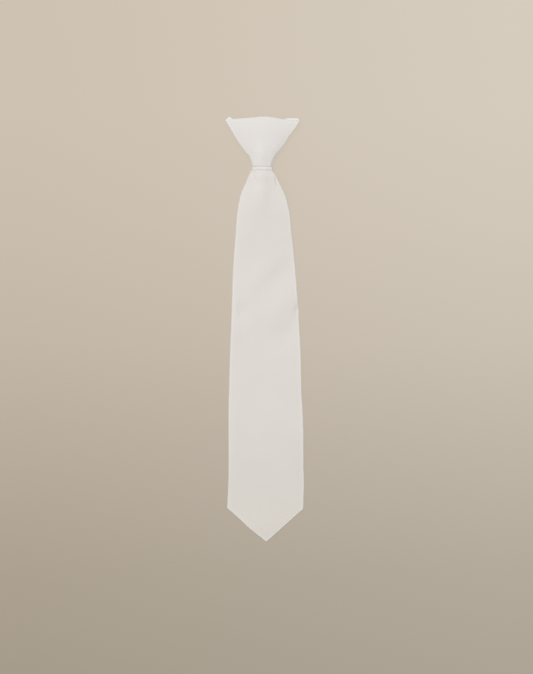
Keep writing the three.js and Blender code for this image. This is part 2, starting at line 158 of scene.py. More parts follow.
def foldedSheet(name, material, grids, opened, flaps, closeTop=False, closeEnd=False):
    # A sheet folded round to a back: four grids of points share their two sides. Where the back is opened,
    # its outer and inner faces meet at the rim. Rows run from high Y to low Y, columns from left to right.
    # A point's fourth number says how near it is to a pressed fold, which sets the painted highlight there.
    front, back, frontIn, backIn = (np.array(grids[key]) for key in gridNames)
    rows, columns = front.shape[:2]
    outer, outerBack, inner, innerBack = np.arange(4 * rows * columns).reshape(4, rows, columns)
    for face, behind in ((outer, outerBack), (inner, innerBack)):
        behind[:, 0], behind[:, -1] = face[:, 0], face[:, -1]
        if closeTop:
            behind[0] = face[0]
        if closeEnd:
            behind[-1] = face[-1]
    rim = touching(opened) & touching(~opened)
    innerBack[rim] = outerBack[rim]
    points = np.concatenate([g.reshape(-1, 4) for g in (front, back, frontIn, backIn)])

    # the cloth's unfolded coordinates, which its weave follows
    run = rowLengths(front)
    run -= run[:, columns // 2][:, None]
    fromLeft = rowLengths(back)
    fromRight = fromLeft[:, -1:] - fromLeft
    turned = np.where(np.arange(columns) < columns // 2, run[:, :1] - fromLeft, run[:, -1:] + fromRight)
    frontUnits = np.stack([run, front[..., 1]], -1)
    flapUnits = np.stack([turned, back[..., 1]], -1)
    middleUnits = np.stack([-back[..., 0], back[..., 1]], -1)

    cellColumn = np.arange(columns - 1)
    inFlap = np.broadcast_to((cellColumn < flaps) | (cellColumn >= columns - 1 - flaps), opened.shape)
    parts = [(outer, frontUnits, None, False), (inner, frontUnits, None, True)]
    for grid, flip in ((outerBack, True), (innerBack, False)):
        parts += [(grid, flapUnits, ~opened & inFlap, flip), (grid, middleUnits, ~opened & ~inFlap, flip)]
    faces = [cellCorners(grid, keep, flip) for grid, values, keep, flip in parts]
    units = [cellCorners(values, keep, flip) for grid, values, keep, flip in parts]
    for row, closed, turnedOver in ((0, closeTop, False), (rows - 1, closeEnd, True)):
        if closed:
            continue
        backCells = ~opened[min(row, rows - 2)]
        for face, lining, keep, flip in ((outer, inner, slice(None), turnedOver),
                                         (outerBack, innerBack, backCells, not turnedOver)):
            strip = np.stack([face[row, :-1], face[row, 1:], lining[row, 1:], lining[row, :-1]], -1)[keep]
            faces.append(strip[:, ::-1] if flip else strip)
            edge = np.stack([frontUnits[row, :-1], frontUnits[row, 1:]], 1)[keep]
            units.append(np.concatenate([edge, edge[:, ::-1]], axis=1))
    piece = addObject(name, material, points[:, :3], np.concatenate(faces), np.concatenate(units),
                      folds=points[:, 3])
    print(name, "has", len(piece.data.polygons), "faces")
    return piece


def meshArea(piece):
    # of one side of the cloth
    return sum(face.area for face in piece.data.polygons) / 2


# Cloth, plastic and metal finishes
def fillInputs(node, inputs):
    # gives each input its value, or joins it to another node's output
    for key, value in inputs.items():
        if isinstance(value, bpy.types.NodeSocket):
            node.id_data.links.new(value, node.inputs[key])
        else:
            node.inputs[key].default_value = value


def newMaterial(name):
    # the material, a function that adds a node to it, and its shader
    material = bpy.data.materials.new(name)
    material.use_nodes = True

    def add(kind, inputs, **settings):
        node = material.node_tree.nodes.new("ShaderNode" + kind)
        for key, value in settings.items():
            setattr(node, key, value)
        fillInputs(node, inputs)
        return node

    return material, add, material.node_tree.nodes["Principled BSDF"]


def addRamp(add, factor, stops):
    # stops are places from 0 to 1, and the colour at each
    ramp = add("ValToRGB", {"Fac": factor})
    elements = ramp.color_ramp.elements
    for place, colour in stops[1:-1]:
        elements.new(place)
    for element, (place, colour) in zip(elements, stops):
        element.position = place
        element.color = (*colour, 1)
    return ramp.outputs["Color"]


def addMix(add, a, b, factor=1, blend="MULTIPLY"):
    mix = add("Mix", {"Factor": factor, "A": a, "B": b}, data_type="RGBA", blend_type=blend)
    return mix.outputs["Result"]


def addNoise(add, place, size, detail):
    # noise of a size in millimetres
    return add("TexNoise", {"Vector": place, "Scale": 1 / (size * mm), "Detail": detail}).outputs["Fac"]


def addBump(add, height, depth, strength, under=None):
    # raised by a depth in millimetres, on top of another bump if there is one
    inputs = {"Height": height, "Distance": depth * mm, "Strength": strength}
    if under:
        inputs["Normal"] = under
    return add("Bump", inputs).outputs["Normal"]


def wovenCloth(name, settings):
    # fine uneven ribs with cross threads between them, on the cloth's own unfolded coordinates
    material, add, shader = newMaterial(name)
    unfolded = add("UVMap", {}, uv_map="cloth").outputs["UV"]
    ribAngle, heights = settings["ribAngle"], []
    for angle, pitch, share in (
            (ribAngle, settings["ribPitch"], settings["ribHeight"]),
            (ribAngle + settings["threadTurn"], settings["threadPitch"], settings["threadHeight"])):
        turned = add("Mapping", {"Vector": unfolded, "Rotation": (0, 0, math.radians(angle))})
        wave = add("TexWave", {
            "Vector": turned.outputs["Vector"], "Scale": math.pi / 10 / pitch,
            "Distortion": settings["unevenness"], "Detail": 1, "Detail Scale": 0.35})
        heights.append(add("Math", {0: wave.outputs["Fac"], 1: share}, operation="MULTIPLY").outputs[0])
    weave = add("Math", {0: heights[0], 1: heights[1]}, operation="ADD").outputs[0]

    # the soft unevenness of pressed cloth lies under the weave
    place = add("TexCoord", {}).outputs["Object"]
    slack = addBump(add, addNoise(add, place, settings["slackSize"], 3), settings["slackDepth"], 1)
    normal = addBump(add, weave, settings["weaveDepth"], settings["weaveStrength"], slack)

    # the cloth's own slight change of tone, and painted light and shade along its length: lightest under the
    # neck, deeper and warmer towards the point
    tone = addRamp(add, addNoise(add, place, settings["toneSize"], 2),
                   [(0.3, settings["shadeColour"]), (0.7, settings["colour"])])
    paintedShadingSteps = settings["paintedLengthShading"]
    start, end = paintedShadingSteps[0][0], paintedShadingSteps[-1][0]
    split = add("SeparateXYZ", {"Vector": place})
    height = add("MapRange", {"Value": split.outputs["Y"], "From Min": start * mm, "From Max": end * mm})
    paintedShading = addRamp(add, height.outputs["Result"],
                         [((y - start) / (end - start), colour) for y, colour in paintedShadingSteps])
    toneAndPaintedShading = addMix(add, tone, paintedShading)
    # a painted highlight along the pressed folds
    fold = add("Attribute", {}, attribute_name="fold").outputs["Fac"]
    foldHighlightShare = add("Math", {0: fold, 1: settings["foldHighlightShare"]}, operation="MULTIPLY").outputs[0]
    paintedHighlight = addMix(add, toneAndPaintedShading, (*settings["foldHighlightColour"], 1), foldHighlightShare, "MIX")
    # a trace of painted shade and of gloss between the ribs
    ribPaintedShade = addRamp(add, weave, [(0, (settings["ribShade"],) * 3), (0.7, (1, 1, 1))])
    gloss = add("MapRange", {"Value": weave, "To Min": settings["roughness"] + settings["glossSpread"],
                             "To Max": settings["roughness"] - settings["glossSpread"]})
    fillInputs(shader, {
        "Base Color": addMix(add, paintedHighlight, ribPaintedShade), "Normal": normal, "Roughness": gloss.outputs["Result"],
        "Specular IOR Level": settings["specular"], "Sheen Weight": settings["sheen"],
        "Sheen Roughness": settings["sheenRoughness"]})
    return material


def mouldedPlastic(name, settings):
    material, add, shader = newMaterial(name)
    grain = addNoise(add, add("TexCoord", {}).outputs["Object"], settings["grainSize"], 2)
    fillInputs(shader, {
        "Base Color": addRamp(add, grain, [(0, settings["shadeColour"]), (1, settings["colour"])]),
        "Normal": addBump(add, grain, settings["grainDepth"], 0.5), "Roughness": settings["roughness"]})
    return material


def brushedNickel(name, settings):
    material, add, shader = newMaterial(name)
    place = add("TexCoord", {}).outputs["Object"]
    stretched = add("Mapping", {"Vector": place, "Scale": settings["brushing"]})
    lines = add("TexNoise", {"Vector": stretched.outputs["Vector"], "Scale": 1, "Detail": 3}).outputs["Fac"]
    gloss = add("MapRange", {"Value": lines, "To Min": settings["smoothest"], "To Max": settings["roughest"]})
    fillInputs(shader, {
        "Base Color": addRamp(add, lines, [(0, settings["shadeColour"]), (1, settings["colour"])]),
        "Normal": addBump(add, lines, settings["lineDepth"], 0.4), "Roughness": gloss.outputs["Result"],
        "Metallic": 1})
    return material


whiteCloth = {
    "colour": (0.876, 0.834, 0.787), "shadeColour": (0.861, 0.816, 0.767), "ribShade": 0.96,
    "ribAngle": 45, "ribPitch": 0.5, "ribHeight": 0.7,
    "threadTurn": 78, "threadPitch": 0.3, "threadHeight": 0.3,
    "unevenness": 0.5, "weaveDepth": 0.035, "weaveStrength": 0.6, "slackSize": 11, "slackDepth": 0.12,
    "toneSize": 30, "roughness": 0.58, "glossSpread": 0.05, "specular": 0.35, "sheen": 0.25,
    "sheenRoughness": 0.45, "foldHighlightColour": (0.93, 0.9, 0.87), "foldHighlightShare": 0.8,
    "paintedLengthShading": [   # places along Y, and the painted shading there
        (-171, (0.882, 0.872, 0.845)), (-158, (0.909, 0.899, 0.871)), (-130, (0.892, 0.887, 0.869)),
        (-110, (0.899, 0.896, 0.886)), (-85, (0.917, 0.916, 0.913)), (-65, (0.928, 0.926, 0.924)),
        (0, (0.933, 0.929, 0.927)), (50, (0.944, 0.943, 0.94)), (75, (0.937, 0.935, 0.931)),
        (94, (0.949, 0.948, 0.942)), (105, (0.972, 0.97, 0.968)), (116, (0.987, 0.987, 0.987)),
        (125, (0.964, 0.964, 0.962)), (130, (0.98, 0.98, 0.98)), (134, (1, 1, 1))],
}
bladeCloth = wovenCloth("blade_cloth", whiteCloth)
knotCloth = wovenCloth("knot_cloth", {
    **whiteCloth, "colour": (0.863, 0.826, 0.793), "shadeColour": (0.851, 0.812, 0.776), "ribAngle": -12,
    "slackSize": 8, "slackDepth": 0.08, "foldHighlightShare": 0.6,
    # painted shading along the knot, a little deeper over its middle
    "paintedLengthShading": [
        (134, (1, 1, 1)), (136, (1, 1, 1)), (138, (0.983, 0.98, 0.976)), (150, (0.983, 0.98, 0.976)),
        (163, (0.98, 0.978, 0.975)), (173, (0.995, 0.995, 0.995)), (178, (1, 1, 1))],
})
formerPlastic = mouldedPlastic("former_plastic", {
    "colour": (0.86, 0.83, 0.8), "shadeColour": (0.84, 0.808, 0.778), "grainSize": 0.9, "grainDepth": 0.02,
    "roughness": 0.55})
clipMetal = brushedNickel("clip_metal", {
    "colour": (0.66, 0.64, 0.61), "shadeColour": (0.56, 0.545, 0.52), "brushing": (9000, 260, 900),
    "lineDepth": 0.004, "smoothest": 0.22, "roughest": 0.42})
threadCloth = mouldedPlastic("sewing_thread", {
    "colour": (0.86, 0.83, 0.79), "shadeColour": (0.74, 0.71, 0.67), "grainSize": 0.12, "grainDepth": 0.04,
    "roughness": 0.6})
print("finishes made")


# The blade
# Each row is a section of the flattened tube: lift is its back's height, thick its depth at the edges,
# crown the face's further rise to the middle, and wall the cloth's thickness.
bladeRows = tableRows("y left right lift thick crown wall", [
    (150.5, -8.6, 2.3, 7.6, 2.7, 0.3, 1.1),
    (143.0, -8.6, 2.2, 6.9, 3.3, 0.4, 1.2),
    (136.0, -8.6, 2.2, 5.8, 4.1, 0.4, 1.4),
    (132.93, -8.7, 3.5, 5.5, 4.5, 0.4, 1.4),
    (132.84, -11.4, 7.0, 5.1, 5.7, 1.0, 1.4),
    (132.55, -12.1, 7.5, 5.05, 5.9, 1.15, 1.4),
    (131.95, -12.3, 7.6, 4.85, 5.8, 1.55, 1.4),
    (130.9, -12.5, 7.9, 4.75, 5.5, 1.8, 1.4),
    (129.4, -13.2, 9.2, 4.6, 5.2, 2.1, 1.4),
    (127.7, -14.3, 10.4, 4.5, 5.0, 2.2, 1.4),
    (124.3, -15.7, 11.9, 4.2, 4.6, 2.2, 1.3),
    (117.6, -18.4, 15.0, 3.7, 4.2, 2.1, 1.2),
    (111.0, -20.8, 17.8, 3.1, 3.9, 1.8, 1.1),
    (94.2, -23.6, 21.4, 1.9, 3.5, 1.2, 1.0),
    (80.9, -24.5, 22.6, 1.2, 3.3, 0.9, 1.0),
    (67.5, -25.6, 24.1, 0.6, 3.1, 0.7, 1.0),
    (40.8, -27.1, 26.5, 0.0, 3.0, 0.5, 1.0),
    (14.0, -27.9, 28.4, 0.0, 3.0, 0.5, 1.0),
    (-8.0, -28.75, 29.6, 0.0, 3.0, 0.5, 1.0),
    (-22.7, -29.35, 30.4, 0.0, 3.0, 0.5, 1.0),
    (-51.0, -30.1, 30.9, 0.0, 3.0, 0.5, 1.0),
    (-67.8, -30.5, 31.9, 0.0, 3.0, 0.5, 1.0),
    (-89.6, -30.45, 32.5, 0.0, 3.0, 0.5, 1.0),
    (-114.6, -30.4, 32.6, 0.0, 3.0, 0.4, 1.0),
    (-129.0, -30.7, 33.0, 0.0, 3.0, 0.3, 1.0),
    (-149.8, -31.6, 32.3, 0.0, 3.0, 0.2, 1.0),
])
blade = {
    "pointY": -177.8, "pointSkew": 0.9, "cornerTilt": 0.35, "pointStart": -112, "bendPower": 1.5,
    # behind: a slit, and below partingY the slanting edges of the returns, which a hem's margin follows
    "slitTop": 129, "slitHalf": 0.25, "partingX": 0.9, "partingY": -112, "partingShare": 0.86, "margin": 5.6,
    "hemSlant": 0.75, "rimRadius": 0.5, "foldSharpness": 0.55, "innerPress": 0.9, "innerGap": 0.25,
    "searchSteps": 600, "foldColumns": 8, "flapColumns": 14, "middleColumns": 58,
    # the face is pressed in by gathers under the neck, ripples below them, a hem line and a side line
    "neckY": 132.55, "gatherFade": 1.5, "rippleStart": (132, 118),
    "hemLine": 0.14, "hemLineIn": 1.45, "hemLineWide": 0.35, "sideLine": 0.07, "sideLineIn": 4.1,
    "sideLineWide": 0.55, "sideLineStart": (-5, -25), "sideLineEnd": -158, "sideLineFade": 8,
    # where the rows of points are: from, to and step along Y, and single ones where the neck is drawn in
    "rowSpans": [(150.5, 134, -2.0), (132.2, 128, -0.35), (128, 100, -0.8), (100, 0, -1.4), (0, -112, -2.0),
                 (-112, -141.5, -1.2)],
    "neckRows": [133.6, 133.2, 133.0, 132.96, 132.92, 132.89, 132.86, 132.84, 132.79, 132.72, 132.64, 132.55,
                 132.4],
    # then by their distance from the point's edge, and by their turn round it in degrees
    "hemRows": [5.6, 5.52, 5.35, 5.1, 4.4, 3.6, 3.0, 2.6, 2.3, 2.1, 1.9, 1.7, 1.5, 1.3],
    "hemTurns": [0, 15, 30, 45, 58, 70, 80, 90],
}
# how far the point's edge sags below its straight lines, from its left corner (-1) to its right one
hemBow = tableRows("u low", [
    (-1.0, 0.0), (-0.65, 0.45), (-0.45, 1.05), (-0.3, 0.8),
    (0.0, 0.0), (0.8, -0.3), (1.0, 0.0),
])
# soft forms of the face: middle, half-length, half-widths on the two sides of the line, angle from X, rise
bladeForms = tableRows("x y long wide lee angle rise", [
    (9.6, 41.6, 18.0, 7.2, 10.0, 46, -1.15),   # the slanting hollow in the middle, and the swells beside it
    (-1.0, 50.5, 17.0, 7.5, 7.5, 45, 0.5),
    (12.5, 19.5, 13.0, 7.0, 7.0, 42, 0.45),
    (18.0, -3.5, 15.0, 9.0, 9.0, 42, -1.15),
    (29.5, 18.5, 10.5, 6.5, 6.5, 62, -0.85),   # pinched in at the right edge
    (28.2, 18.3, 6.0, 2.6, 4.5, 68, -1.2),
    (-19.4, 14.6, 8.0, 3.9, 7.0, 94, -1.15),   # and beside the left edge
    (-21.1, 15.4, 6.0, 1.3, 1.3, 94, -0.5),
    (-24.0, -2.0, 7.0, 5.0, 5.0, 100, 0.4),
    (-4.2, 112.0, 17.0, 10.0, 7.5, 90, 2.0),   # the ridge below the neck
    (7.6, 125.4, 4.5, 1.0, 1.0, -79, 0.35),    # the pleat at its right
    (9.4, 123.6, 4.3, 0.65, 0.65, -80, -0.32),
    (-8.8, 126.2, 3.8, 0.9, 0.9, -68, -0.4),   # and the short gather at its left
])
# gathers down from the neck
gathers = tableRows("across wide deep reach", [
    (-0.62, 0.1, 0.1, 9),
    (0.35, 0.1, 0.12, 12),
])
# the shallow unevenness of cloth that lies loose
ripple = {"seed": 3, "sizes": (26, 44, 75), "depth": 0.05, "waves": 4}
# for the folded sheets
mostRound = 0.95      # the most of a half-width that a fold takes
mostParting = 0.97    # the most of the flat part that lies between the two returns' edges
rimSteps = np.array([0.0, 0.08, 0.25, 0.5])   # how far the points by an opening are from its rim
foldHighlightReach = 0.9       # how far the painted highlight along a pressed fold reaches in
foldFade = (1.0, 0.8)   # the places across where the face's forms fade in from the fold


def faceForms(forms, x, y):
    height = np.zeros_like(x)
    for form in forms:
        turn = math.radians(form["angle"])
        dx, dy = x - form["x"], y - form["y"]
        length = (dx * math.cos(turn) + dy * math.sin(turn)) / form["long"]
        aside = dy * math.cos(turn) - dx * math.sin(turn)
        aside = aside / np.where(aside < 0, form["lee"], form["wide"])
        height += form["rise"] * np.exp(-length ** 2 - aside ** 2)
    return height


def softRipple(x, y):
    # a few crossed waves of each size
    dice = np.random.default_rng(ripple["seed"])
    height = np.zeros_like(x)
    for size in ripple["sizes"]:
        for _ in range(ripple["waves"]):
            turn, start = dice.uniform(0, math.pi), dice.uniform(0, 2 * math.pi)
            height += np.sin((x * math.cos(turn) + y * math.sin(turn)) * 2 * math.pi / size + start)
    return ripple["depth"] * height / (ripple["waves"] * len(ripple["sizes"])) ** 0.5


def facePress(x, y, across, half, hem):
    # how far the face is pressed in, by its soft forms, gathers, hem line and side line
    depth = -faceForms(bladeForms, x, y)
    below = blade["neckY"] - y
    for gather in gathers:
        aside = (across - gather["across"]) / gather["wide"]
        fade = np.exp(-(np.maximum(0, below) / gather["reach"]) ** 2) * ease(0, blade["gatherFade"], below)
        depth += gather["deep"] * fade * np.exp(-aside ** 2)
    depth += softRipple(x, y) * ease(*foldFade, np.abs(across)) * ease(*blade["rippleStart"], y)
    if hem:
        fromLine = hem * blade["hemSlant"] - blade["hemLineIn"]
        depth += blade["hemLine"] * math.exp(-(fromLine / blade["hemLineWide"]) ** 2)
    side = ((1 - across) * half - blade["sideLineIn"]) / blade["sideLineWide"]
    depth += (blade["sideLine"] * np.exp(-side ** 2) * ease(*blade["sideLineStart"], y)
              * ease(0, blade["sideLineFade"], hem + (y - blade["sideLineEnd"])))
    return depth


def columnPlaces(roundShare, parting, half, settings):
    # places across, from -1 to 1: fold, flap, middle, flap, fold, closer together at the rim of the parting
    folds, flaps, middles = (settings[key] for key in ("foldColumns", "flapColumns", "middleColumns"))
    nearRim = rimSteps[::-1] / half
    outer = 1 - roundShare
    parting = min(parting, outer * mostParting)
    fold = outer + roundShare * np.sin(np.linspace(1, 0, folds + 1)[:-1] * math.pi / 2)
    flap = np.linspace(outer, parting + nearRim[0], flaps - 3)[:-1]
    right = np.concatenate([fold, flap, parting + nearRim])
    middle = np.linspace(parting, -parting, middles + 1)[1:-1]
    return np.concatenate([right, middle, -right[::-1]])[::-1]


def foldDepth(u, roundShare):
    # 1 over the flat part, and down to 0 round the folds at its two sides
    past = np.maximum(0, (np.abs(u) - (1 - roundShare)) / roundShare)
    return np.sqrt(np.maximum(0, 1 - past ** 2))


def rimShift(away, radius, wall, inner):
    # at an opening's rim the outer face rounds over to meet the inner one
    raised = rounding(away, radius)
    return -raised * (wall - radius) / radius if inner else raised


def makeBlade():
    corner, slant = bladeRows[-1]["y"], blade["hemSlant"]
    drop = corner - blade["pointY"]

    def bendAt(y):
        # how far a row follows the point's edge, from 0 where it starts to 1 at the corners
        share = np.clip((blade["pointStart"] - y) / (blade["pointStart"] - corner), 0, 1)
        return float(share ** blade["bendPower"])

    # rows: straight ones down to the corners, then ones that follow the point's hem, then the hem's roll
    heights = np.concatenate([blade["neckRows"]] + [np.arange(*span) for span in blade["rowSpans"]])
    heights = np.sort(heights)[::-1]
    roll = bladeRows[-1]["thick"] / 2 / slant * blade["foldSharpness"]
    rows = [dict(y=y, bend=bendAt(y), hem=0.0, turn=0.0) for y in heights]
    openRows = len(rows)
    rows += [dict(y=corner, bend=1.0, hem=hem, turn=0.0) for hem in blade["hemRows"]]
    rows += [dict(y=corner, bend=1.0, hem=roll * (1 - math.sin(turn)), turn=turn)
             for turn in np.radians(blade["hemTurns"])]

    grids = {key: [] for key in gridNames}
    slitRow = int(np.argmax(heights < blade["slitTop"]))
    for number, row in enumerate(rows):
        atHem, hem = number >= openRows, row["hem"]
        left, right, lift, thick, crown, wall = sectionAt(
            bladeRows, row["y"] + hem, "left", "right", "lift", "thick", "crown", "wall")
        half = (right - left) / 2

        def yAt(u, lowered):
            sag = drop * (1 - np.abs(u)) + blade["cornerTilt"] * u + along(hemBow, u, "low", key="u")
            return row["y"] - row["bend"] * sag + lowered

        def xAt(u, inset=0.0):
            return (left + right) / 2 + (half - inset) * u + blade["pointSkew"] * row["bend"] * (1 - u * u)

        def openTo():
            # how far out the back is open: the slit, and lower down the slanting edges of the two returns
            u = np.linspace(0, 1, blade["searchSteps"])
            kneeU = blade["partingShare"] * (1 - thick / 2 / half)
            kneeX, kneeY = float(xAt(np.array(kneeU))), corner - drop * (1 - kneeU) + blade["margin"]
            slope = (kneeY - blade["partingY"]) / (kneeX - blade["partingX"])
            crossed = yAt(u, 0) >= blade["partingY"] + (xAt(u) - blade["partingX"]) * slope
            return max(blade["slitHalf"] / half, float(u[int(np.argmax(crossed))]))

        for inner in (False, True):
            inset, lowered = (wall if inner else 0.0), hem
            if inner and atHem:   # the inner face turns on a smaller roll, one cloth further in
                innerRoll = (thick / 2 - wall) * blade["foldSharpness"] * (1 - math.sin(row["turn"]))
                lowered = max(hem, (wall + innerRoll) / slant)
            for face in ("front", "back"):
                roundShare = min(mostRound, (thick / 2 - inset) * blade["foldSharpness"] / (half - inset))
                parting = blade["partingShare"] * (1 - min(mostRound, thick / 2 / half))
                if face == "back" and not atHem:
                    parting = openTo()
                u = columnPlaces(roundShare, parting, half, blade)
                x, y = xAt(u, inset), yAt(u, lowered)
                rise = crown * (1 - u * u)
                press = facePress(x, y, u, half, hem)
                if inner:   # the two inner faces stay apart
                    room = thick + rise - 2 * wall - blade["innerGap"]
                    press = np.minimum(blade["innerPress"] * press, room)
                top, bottom = lift + thick + rise - inset - press, lift + inset
                depth = foldDepth(u, roundShare) * math.cos(row["turn"]) * (top - bottom) / 2
                z = (top + bottom) / 2 + (depth if face == "front" else -depth)
                if face == "back" and number >= slitRow:
                    away = np.maximum(0, np.abs(u) - parting) * half
                    if atHem:
                        away = np.hypot(away, (blade["margin"] - min(hem, blade["margin"])) * slant)
                    z = z + rimShift(away, blade["rimRadius"], wall, inner)
                fromEdge = (1 - np.abs(u)) * half
                if atHem:
                    fromEdge = np.minimum(fromEdge, hem * slant)
                # a painted highlight by the folded edges and the hem
                key, paintedHighlight = face + ("In" if inner else ""), np.exp(-fromEdge / foldHighlightReach)
                grids[key].append(np.stack([x, y, z, paintedHighlight], -1))
    columns = len(grids["front"][0])
    flaps = blade["foldColumns"] + blade["flapColumns"]
    opened = np.zeros((len(rows) - 1, columns - 1), bool)
    opened[slitRow:openRows, flaps:columns - 1 - flaps] = True
    return foldedSheet("blade_cloth", bladeCloth, grids, opened, flaps, closeEnd=True)


bladePiece = makeBlade()
print("blade area", round(meshArea(bladePiece) * 1e6), "mm2")
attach(bladePiece, "root")
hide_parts("blade")

seam = {"high": 118, "low": -92, "pitch": 11.5, "reach": 1.15, "lean": 0.8, "thread": 0.13, "depth": 0.06,
        "sink": 0.45, "sinkFrom": 0.72, "tackY": -104, "tackRows": 7, "tackPitch": 0.3, "tackReach": 2.6,
        "tackUneven": 0.12, "sides": 8, "steps": 15}


def makeSeamThread():
    # slip stitches across the back opening, and the bar tack that ends them
    stitches = [(y, seam["reach"], seam["lean"])
                for y in np.arange(seam["high"], seam["low"], -seam["pitch"])]
    for row in range(seam["tackRows"]):
        reach = seam["tackReach"] - seam["tackUneven"] * (row % 2)
        stitches.append((seam["tackY"] - row * seam["tackPitch"], reach, 0.0))
    points, faces, slope = [], [], seam["sink"] / (1 - seam["sinkFrom"])
    for y, reach, lean in stitches:
        left, right, lift = sectionAt(bladeRows, y, "left", "right", "lift")
        faces += tubeFaces(seam["steps"], seam["sides"], first=len(points))
        for step in range(seam["steps"]):
            t = 2 * step / (seam["steps"] - 1) - 1
            sink = slope * max(0.0, abs(t) - seam["sinkFrom"])          # its two ends go into the cloth
            centre = np.array([(left + right) / 2 + t * reach, y + t * lean, lift + seam["depth"] + sink])
            turned = math.atan2(slope / reach * np.sign(t), 1) if sink else 0.0
            for turn in np.arange(seam["sides"]) * 2 * math.pi / seam["sides"]:
                across, up = seam["thread"] * math.cos(turn), seam["thread"] * math.sin(turn)
                points.append(centre + np.array([-up * math.sin(turned), across, up * math.cos(turned)]))
    piece = addObject("seam_thread", threadCloth, points, faces)
    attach(piece, "root")
    print("seam has", len(stitches), "stitches")


makeSeamThread()


# The knot's cloth and the former under it
knotRows = tableRows("y left right back front crown", [
    (173.6, -32.7, 29.6, 6.4, 10.8, 1.3),
    (167.8, -29.2, 26.1, 6.4, 10.8, 2.2),
    (161.1, -25.2, 20.9, 6.4, 10.7, 3.0),
    (154.4, -20.9, 16.4, 6.3, 10.6, 3.3),
    (147.7, -16.2, 11.5, 5.8, 10.6, 3.2),
    (144.4, -13.2, 9.15, 5.3, 10.7, 2.8),
    (141.0, -11.8, 7.3, 4.8, 10.9, 2.1),
    (138.4, -11.0, 6.0, 4.4, 11.1, 1.5),
    (136.2, -10.6, 5.5, 4.1, 11.3, 0.95),
])
knotTop = tableRows("x y", [
    (-32.2, 173.8), (-26.0, 175.8), (-20.0, 176.2), (-10.0, 177.1),
    (-0.5, 177.8), (8.0, 176.9), (14.0, 175.8), (19.0, 175.0),
    (28.8, 174.6),
])
# the open middle behind: its half-width, at heights of the cloth's sides
windowRows = tableRows("y half", [(168.0, 17.5), (145.5, 10.2), (139.0, 3.0)])
knot = {
    "wall": 1.1, "sideSlope": 1.22, "windowTop": 168.0, "windowLow": 142.5, "rimRadius": 0.5, "mouth": 136.22,
    "foldColumns": 9, "flapColumns": 12, "middleColumns": 56, "partingShare": 0.65, "foldSharpness": 0.3,
    "foldLevel": 0.25, "leastRise": 0.05, "mouthRadius": 0.2, "mouthRounder": 1.4, "mouthLeast": 0.5,
    "rounderFrom": (145, 157), "highlightFrom": (143, 158), "highlightTop": 1.5, "crownPower": 2.1,
    # the parts of the top corners that are open behind, where the former's wings come out
    "cornerRows": 9, "leftCorner": 18, "rightCorner": 25,
    # where the rows of points are: by their turn round the top in degrees, and by their height at the sides
    "topTurns": [90, 80, 68, 55, 40, 25, 12, 0], "topRow": 170.8, "rowStep": 0.8,
    "lowSpan": (141.3, 137.6, -0.7), "mouthSteps": [0.9, 0.6, 0.42, 0.3, 0.2, 0.12, 0.06, 0.02, 0.0],
}
# soft forms of the knot's face
knotForms = tableRows("x y long wide lee angle rise", [
    (-3.4, 144.0, 9.0, 3.6, 3.6, 84, 0.5),
    (-12.0, 145.0, 8.0, 3.5, 3.5, 64, -0.6),
    (2.9, 138.6, 5.0, 2.2, 2.2, 96, -0.3),
])


def fannedHeight(u, share, inset):
    # the height at u of a row that is a share of the way up, from the level mouth to the curve of knotTop
    top, end = knotRows[0], knotRows[-1]
    across = (top["right"] + top["left"] + u * (top["right"] - top["left"])) / 2
    return end["y"] + share * (along(knotTop, across, "y", key="x") - end["y"] - inset)


